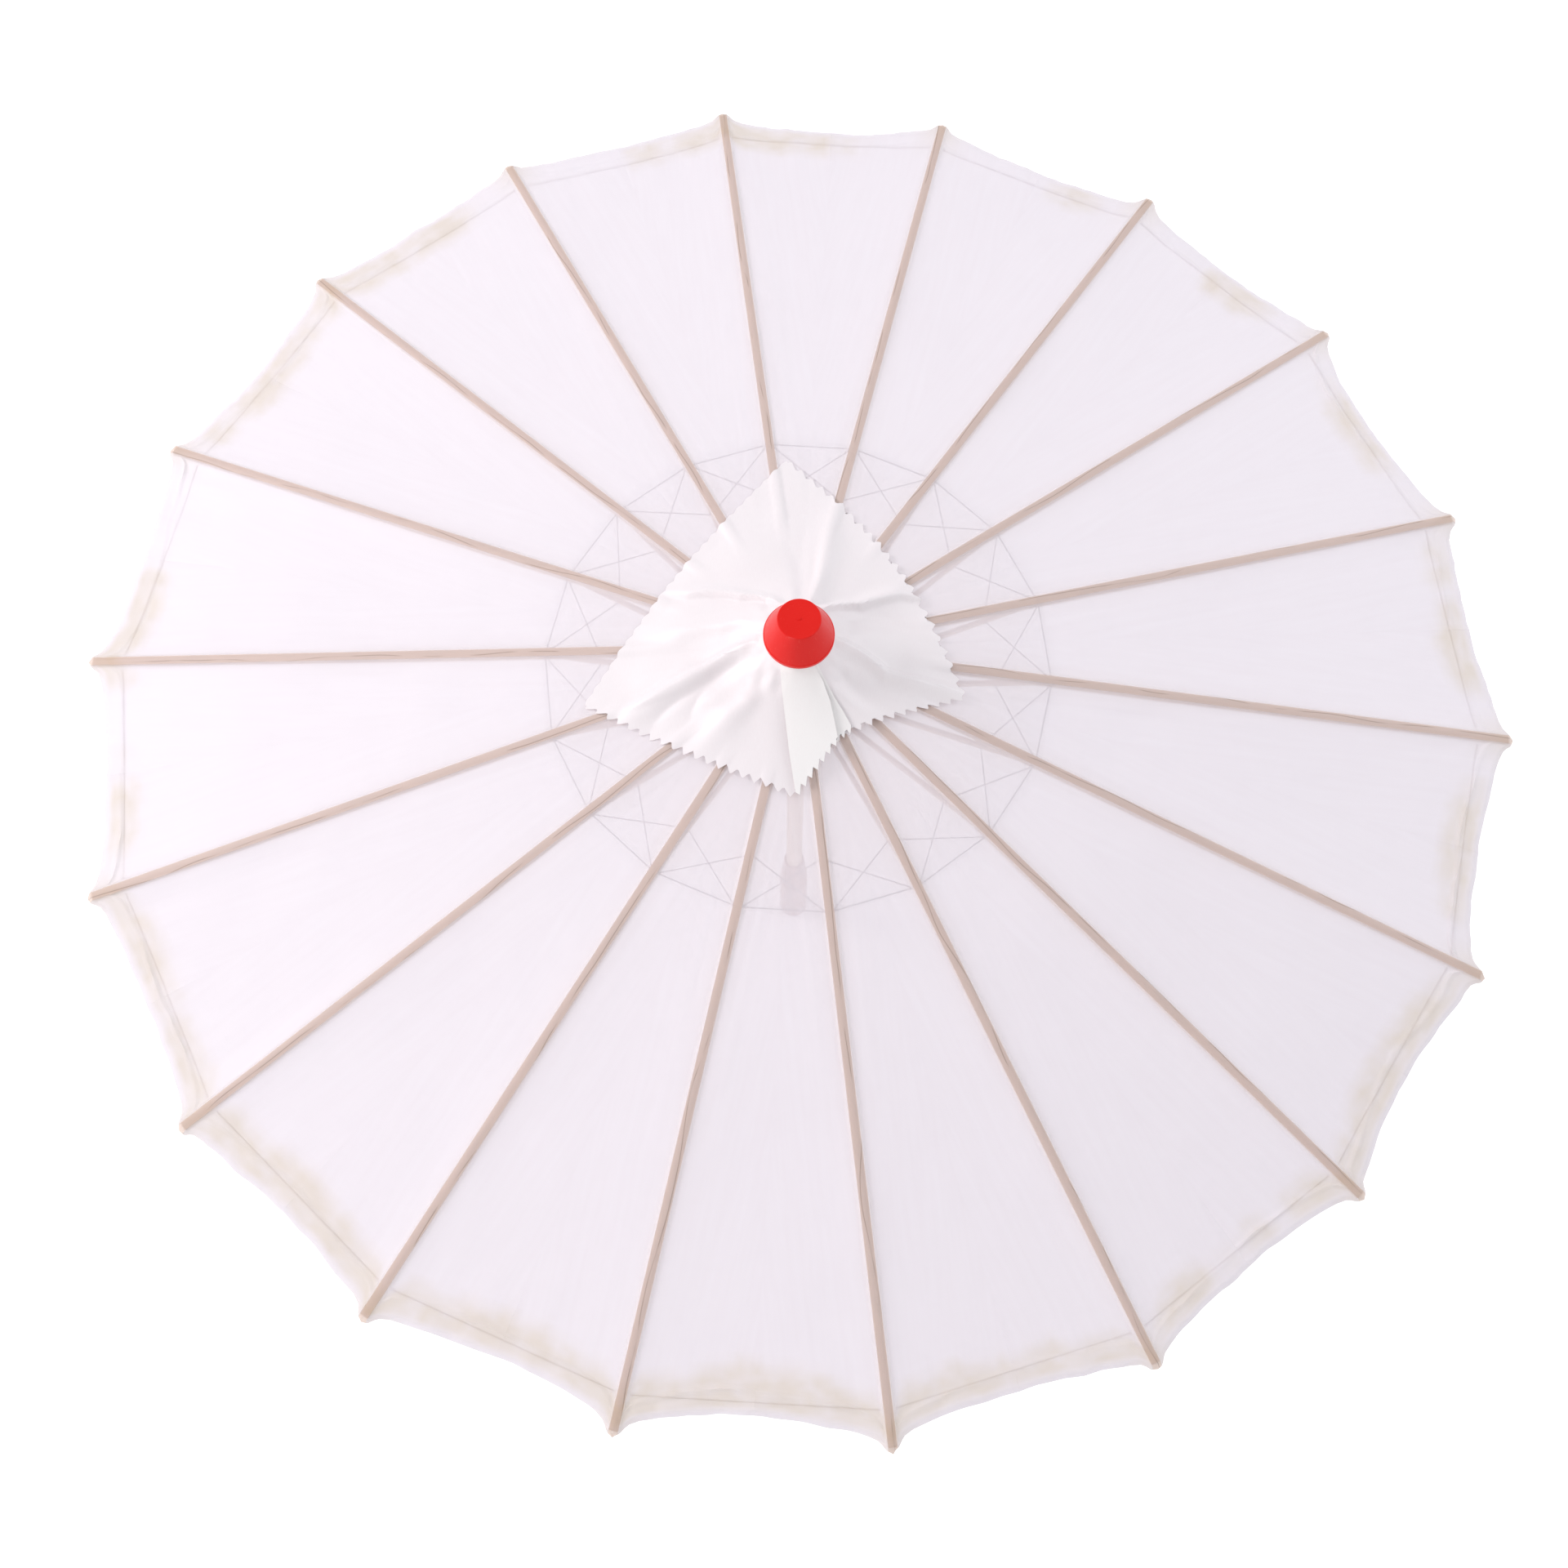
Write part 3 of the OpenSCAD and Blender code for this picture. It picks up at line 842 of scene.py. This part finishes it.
def fold_at(x, y, fold):
    angles, height, width, start, end, crisp = fold
    r = math.hypot(x, y)
    t = min(2.999, max(0, (r - start) / (end - start) * 3))
    k = int(t)
    line = math.radians(angles[k] + (angles[k + 1] - angles[k]) * (t - k))
    off = turn_between(math.atan2(y, x), line)
    if abs(off) > FOLD_TURN:
        return 0
    side = r * math.sin(off)
    grown = width * (0.55 + 0.85 * (r - start) / (end - start)) if r > start else width * 0.55
    fall = grown if crisp * side <= 0 else grown * (1 - STEEP * min(1, abs(crisp)))
    body = math.exp(-(side / fall) ** 2)
    along = smooth(start - 4, start + 9, r) * (1 - smooth(end - 45, end + 14, r))
    return height * body * along


print("folds of the square:", len(FOLDS))

# %% Height of the square
FLAT_R = 15
TENT = 17.4
TENT_REACH = 17
LIFT = 0.9
COLLAR_GAP = 0.35
CALM_ANGLE, CALM_W = math.radians(-84), 0.5
RIPPLE = 0.9
CRUMPLE = 1.3


def square_height(x, y):
    r = math.hypot(x, y)
    angle = math.atan2(y, x)
    under = cover_height(r, angle) if r > IN_R + 2 else APEX_Z - r * RISE
    cone = APEX_Z - r * RISE + CLOTH_LIFT
    ground = cone + (under - cone) * smooth(60, 95, r)
    tent = TENT * math.exp(-(max(r, FLAT_R) - FLAT_R) / TENT_REACH)
    calm = 1 - 0.92 * math.exp(-(turn_between(angle, CALM_ANGLE) / CALM_W) ** 4)
    folds = calm * sum(fold_at(x, y, fold) for fold in FOLDS)
    ripple = calm * noise.noise((x / 22, y / 22, 9.1)) * RIPPLE * smooth(24, 60, r)
    near_cap = smooth(17, 21, r)
    crumple = noise.noise((angle * 5, r / 7, 2.2)) * CRUMPLE * near_cap * (1 - smooth(25, 38, r))
    loose = tent + 0.85 * folds + ripple + calm * crumple
    z = ground + LIFT + max(0, loose) - 0.4 * min(0, loose)
    flat = COLLAR_TOP + COLLAR_GAP
    return flat + (z - flat) * smooth(FLAT_R, FLAT_R + 5, r)


# %% Outline of the square
FAR, LEFT, NEAR, RIGHT = (Vector(p) for p in ((-14, 126), (-116, -32), (3, -80), (92, -18)))
ACROSS = 120
EDGE_TEETH = {"left": 19, "right": 22, "low": 17, "high": 24}
TOOTH, HIGH_TOOTH = 2.1, 0.8


def bow(t, height, skew):
    """Sideways bulge of an edge, t from 0 to 1, with its top moved by skew."""
    return height * math.sin(math.pi * t ** skew)


def outline_point(s, t):
    """A point of the flat square: s from the left side to the right, t from near to far."""
    low = NEAR.lerp(RIGHT, s)
    low += Vector((-0.57, 0.82)) * bow(s, 14, 0.62)
    high = LEFT.lerp(FAR, s)
    high += Vector((-0.84, 0.54)) * bow(s, 4, 1.0)
    start = NEAR.lerp(LEFT, t)
    start += Vector((-0.37, -0.93)) * bow(t, 3, 1.0)
    end = RIGHT.lerp(FAR, t)
    end += Vector((0.80, 0.60)) * bow(t, 12, 1.0)
    sides = low.lerp(high, t) + start.lerp(end, s)
    corners = NEAR.lerp(RIGHT, s).lerp(LEFT.lerp(FAR, s), t)
    return sides - corners


def tooth(step, steps, teeth):
    """Zigzag of the pinked edge: 1 at a point and -1 in a notch."""
    phase = step * teeth / steps % 1
    return 1 - 4 * abs(phase - 0.5)


# %% Flat sheets with pinked edges
FLAP_ROWS = 40
FLAP_TOOTH = 1.8
FLAP_TOOTH_STEPS = 4


def square_sheet():
    bm = bmesh.new()
    bmesh.ops.create_grid(bm, x_segments=ACROSS, y_segments=ACROSS, size=0.5)
    middle = outline_point(0.5, 0.5)
    for v in bm.verts:
        a = round((v.co.x + 0.5) * ACROSS)
        b = round((v.co.y + 0.5) * ACROSS)
        p = outline_point(a / ACROSS, b / ACROSS)
        upright = a in (0, ACROSS)
        if upright or b in (0, ACROSS):
            if upright:
                edge = "left" if a == 0 else "right"
            else:
                edge = "low" if b == 0 else "high"
            depth = HIGH_TOOTH if b == ACROSS else TOOTH
            zigzag = tooth(b if upright else a, ACROSS, EDGE_TEETH[edge])
            p += (p - middle).normalized() * depth * zigzag
        v.co = (p.x, p.y, 0)
    return bm


def flap_sheet(left, right, steps):
    """Cloth between two lines of points, from the cap outwards, with a pinked far end."""
    bm = bmesh.new()
    bmesh.ops.create_grid(bm, x_segments=steps, y_segments=FLAP_ROWS, size=0.5)

    def along(line, t):
        place = t * (len(line) - 1)
        k = min(int(place), len(line) - 2)
        return Vector(line[k]).lerp(Vector(line[k + 1]), place - k)

    for v in bm.verts:
        s = v.co.x + 0.5
        t = v.co.y + 0.5
        p = along(left, t).lerp(along(right, t), s)
        if t > 0.999:
            zigzag = tooth(round(s * steps), steps, steps / FLAP_TOOTH_STEPS)
            p += Vector((0.35, -0.94)) * FLAP_TOOTH * zigzag
        v.co = (p.x, p.y, 0)
    return bm


# %% Raise a sheet and open its neck
NECK_HOLE = 9.9
HOLE_MARGIN = 3


def shape_sheet(bm, lift, slot=0):
    """Raise a flat sheet to the square's height, and keep its flat place as its cut pattern."""
    uv = bm.loops.layers.uv.new("cut")
    for face in bm.faces:
        face.smooth = True
        face.material_index = slot
        for loop in face.loops:
            loop[uv].uv = (loop.vert.co.x * MM, loop.vert.co.y * MM)
    for v in bm.verts:
        x, y = v.co.x, v.co.y
        v.co = Vector((x, y, square_height(x, y) + lift(x, y))) * MM
    bm.normal_update()
    if sum(face.normal.z for face in bm.faces) < 0:
        bmesh.ops.reverse_faces(bm, faces=bm.faces[:])


def open_neck(bm):
    """Clear the round hole that the notch's neck passes through."""
    inner = [f for f in bm.faces if f.calc_center_median().length < NECK_HOLE]
    bmesh.ops.delete(bm, geom=inner, context="FACES")
    for v in bm.verts:
        if v.is_boundary and v.co.length < NECK_HOLE + HOLE_MARGIN:
            v.co = v.co.normalized() * NECK_HOLE
        if v.co.length < NECK_HOLE:
            v.co = v.co.normalized() * NECK_HOLE


# %% The square and its two flaps
FLAP_LEFT = [(-9.3, -15), (-7.6, -27), (-4.6, -43), (-1.5, -60), (3.2, -80.5)]
FLAP_RIGHT = [(8.2, -14.6), (14.0, -22), (18.6, -31), (21.6, -41), (24.0, -50)]
UNDERFLAP_LEFT = [(6.6, -14.6), (12.0, -23), (16.0, -32), (19.0, -42), (22.0, -51)]
UNDERFLAP_RIGHT = [(10.2, -14.0), (16.0, -22), (21.0, -29), (26.0, -35), (31.4, -43)]


FLAP_FROM, FLAP_LENGTH = 18, 62
FLAP_COLUMNS, UNDERFLAP_COLUMNS = 28, 12


def flap_lift(base, puff):
    """Height of a flap above the square: flat at the cap, a soft roll down its middle."""
    def lift(x, y):
        share = min(1, max(0, (math.hypot(x, y) - FLAP_FROM) / FLAP_LENGTH))
        return base + puff * math.sin(math.pi * share) ** 0.8
    return lift


square = square_sheet()
open_neck(square)
shape_sheet(square, lambda x, y: 0)
flap = flap_sheet(FLAP_LEFT, FLAP_RIGHT, FLAP_COLUMNS)
shape_sheet(flap, flap_lift(1.5, 1.4), slot=1)
underflap = flap_sheet(UNDERFLAP_LEFT, UNDERFLAP_RIGHT, UNDERFLAP_COLUMNS)
shape_sheet(underflap, flap_lift(0.75, 0.4), slot=1)
print("faces of the square:", len(square.faces), "and of its flap:", len(flap.faces))

# %% [markdown]
# ## Cutting the square into sectors
# When the ribs swing down, the square would have to follow all eighteen of them. It is cut along the
# middles of the gores into a sector round each rib, and the flaps are cut with it.

# %% Sectors
def sector(bm, i):
    """A copy of the sheet, cut to the 20 degrees round rib i."""
    part = bm.copy()
    for side in (1, -1):
        edge = rib_angle(i) + side * HALF
        normal = Vector((-math.sin(edge), math.cos(edge), 0)) * side
        bmesh.ops.bisect_plane(
            part, geom=part.verts[:] + part.edges[:] + part.faces[:], dist=1e-7,
            plane_co=(0, 0, 0), plane_no=normal, clear_outer=True)
    middle = Vector((math.cos(rib_angle(i)), math.sin(rib_angle(i)), 0))
    behind = [f for f in part.faces if f.calc_center_median().dot(middle) < 0]
    bmesh.ops.delete(part, geom=behind, context="FACES")
    return part


# %% Make the sectors
SATIN_THICKNESS = 0.45
squares = []
for i in range(1, RIBS + 1):
    part = sector(square, i)
    for extra in (flap, underflap):
        more = sector(extra, i)
        if more.faces:
            loose = bpy.data.meshes.new("loose")
            more.to_mesh(loose)
            part.from_mesh(loose)
            bpy.data.meshes.remove(loose)
        more.free()
    piece = new_object(f"top_square_{i:02d}", part, SATIN, PAINTED_LIT_SATIN)
    a = rib_angle(i)
    thicken(piece, SATIN_THICKNESS)
    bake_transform(piece)
    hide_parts("top_cloth")
    squares.append(piece)
for bm in (square, flap, underflap):
    bm.free()
print("pieces of the square:", len(squares))

# %% [markdown]
# ## Threads
# Cotton thread ties the frame together. One ring of it runs from pivot to pivot, and from
# each pivot it crosses to the next stretcher, so every gore has an X and a line. Another thread
# runs inside the hem from rib to rib. Each stretch is straight and is cut at the middle of the
# gore: one half goes with its rib, the far end of a cross goes with the stretcher it is tied to.
# The web's thread is painted dark grey, as painted shade from the cloth above it, so that it shows faintly
# through the cloth; the hem's thread is white.

# %% Thread material
def thread_finish(name, dark, light):
    net = Net(name)
    place = net.add("TexCoord").outputs["Object"]
    twist = net.noise(place, 2600, 1.0)
    colour = net.mix(twist, linear(*dark), linear(*light))
    return net.finish(net.add("BsdfPrincipled", {
        "Base Color": colour, "Roughness": net.plus(net.times(twist, 0.2), 0.7),
        "Normal": net.bump(twist, 0.4, 0.0002)}))


# The web thread's dark grey is painted shade: it stands for the shade under the cloth.
PAINTED_SHADE_THREAD = thread_finish("thread_painted_shade_grey", (60, 55, 57), (90, 84, 86))
HEM_THREAD = thread_finish("white_thread", (206, 198, 192), (228, 222, 216))
print("thread finishes made")

# %% Where the threads run
THREAD_R = 0.3
BLADE_W = 2.1
PIVOT_R = RING_R + ARM * math.cos(SLOPE)
PIVOT_Z = HUB_Z - ARM * math.sin(SLOPE)
RUNNER_Z = HUB_Z - 2 * ARM * math.sin(SLOPE)
WEB_IN = 31
WEB_R = RING_R + (ARM - WEB_IN) * math.cos(SLOPE)
WEB_Z = RUNNER_Z + (ARM - WEB_IN) * math.sin(SLOPE)
HEM_R = CANOPY_R - 15
HEM_PARTS = 6
HEM_START = 1.8
HEM_DEPTH = 0.95
THREAD_SIDES = 6
HIGH_WRAP, LOW_WRAP = 0.9, 1.6
CROSSING = 0.35


def beside(i, r, sideways, z):
    """A point near rib i: r out along it, sideways of it, at height z."""
    a = rib_angle(i)
    x = r * math.cos(a) - sideways * math.sin(a)
    y = r * math.sin(a) + sideways * math.cos(a)
    return Vector((x, y, z))


def add_strand(bm, a, b, slot=0):
    """A straight thread from a to b, in millimetres."""
    d = (b - a) * MM
    turn = d.to_track_quat("Z", "Y").to_matrix().to_4x4()
    place = Matrix.Translation((a + b) / 2 * MM) @ turn
    made = bmesh.ops.create_cone(bm, cap_ends=True, segments=THREAD_SIDES, radius1=THREAD_R * MM,
                                 radius2=THREAD_R * MM, depth=d.length, matrix=place)
    for v in made["verts"]:
        for face in v.link_faces:
            face.material_index = slot


def middle_crossing(a, b, i, side):
    """Where the line from a to b crosses the upright plane in the middle of the gore."""
    edge = rib_angle(i) + side * HALF
    normal = Vector((-math.sin(edge), math.cos(edge), 0))
    t = a.dot(normal) / (a.dot(normal) - b.dot(normal))
    return a.lerp(b, t)


def gore_strands(i, side):
    """The threads of one gore, from rib i towards its neighbour on that side: the ring's, and two
    that cross. One of the two is tied higher than the other, so they pass without touching."""
    j = i + side
    w = RIB_W / 2 + 0.25
    low = BLADE_W / 2 + 0.4
    drop_here, drop_there = (HIGH_WRAP, LOW_WRAP) if side > 0 else (LOW_WRAP, HIGH_WRAP)
    web_here, web_there = (-CROSSING, CROSSING) if side > 0 else (CROSSING, -CROSSING)
    ring = (beside(i, PIVOT_R, side * w, PIVOT_Z), beside(j, PIVOT_R, -side * w, PIVOT_Z))
    out = (beside(i, PIVOT_R - 1, side * (w + 0.15), PIVOT_Z - drop_here),
           beside(j, WEB_R, -side * low, WEB_Z + web_there))
    back = (beside(i, WEB_R, side * low, WEB_Z + web_here),
            beside(j, PIVOT_R - 1, -side * (w + 0.15), PIVOT_Z - drop_there))
    return ring, out, back


def hem_strands(bm, i, side):
    """The thread inside the hem, just under the cloth, from rib i to the middle of the gore."""
    first = math.asin((RIB_W / 2 + HEM_START) / HEM_R)
    points = []
    for k in range(HEM_PARTS + 1):
        off = first + (HALF - first) * k / HEM_PARTS
        angle = rib_angle(i) + side * off
        r = HEM_R * math.cos(HALF) / math.cos(off - HALF) - 3
        z = cover_height(r, angle) - HEM_DEPTH
        points.append(Vector((r * math.cos(angle), r * math.sin(angle), z)))
    for a, b in zip(points, points[1:]):
        add_strand(bm, a, b, slot=1)


def finish_thread(name, bm, body):
    for face in bm.faces:
        face.smooth = True
    piece = new_object(name, bm, PAINTED_SHADE_THREAD, HEM_THREAD)
    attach(piece, body)
    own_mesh(piece)
    return piece


# %% Make the threads
thread_count = 0
for i in range(1, RIBS + 1):
    for side, letter in ((1, "a"), (-1, "b")):
        ring, out, back = gore_strands(i, side)
        bm = bmesh.new()
        for a, b in (ring, out):
            add_strand(bm, a, middle_crossing(a, b, i, side))
        hem_strands(bm, i, side)
        piece = finish_thread(f"threads_{i:02d}_{letter}", bm, rib_name(i))
        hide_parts("web_thread", "rim_thread")
        thread_count += 1
    bm = bmesh.new()
    for side in (1, -1):
        a, b = gore_strands(i, side)[2]
        add_strand(bm, a, middle_crossing(a, b, i, side))
    piece = finish_thread(f"web_ends_{i:02d}", bm, f"stretcher_{i:02d}")
    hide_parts("web_thread")
    thread_count += 1
print("thread pieces:", thread_count)
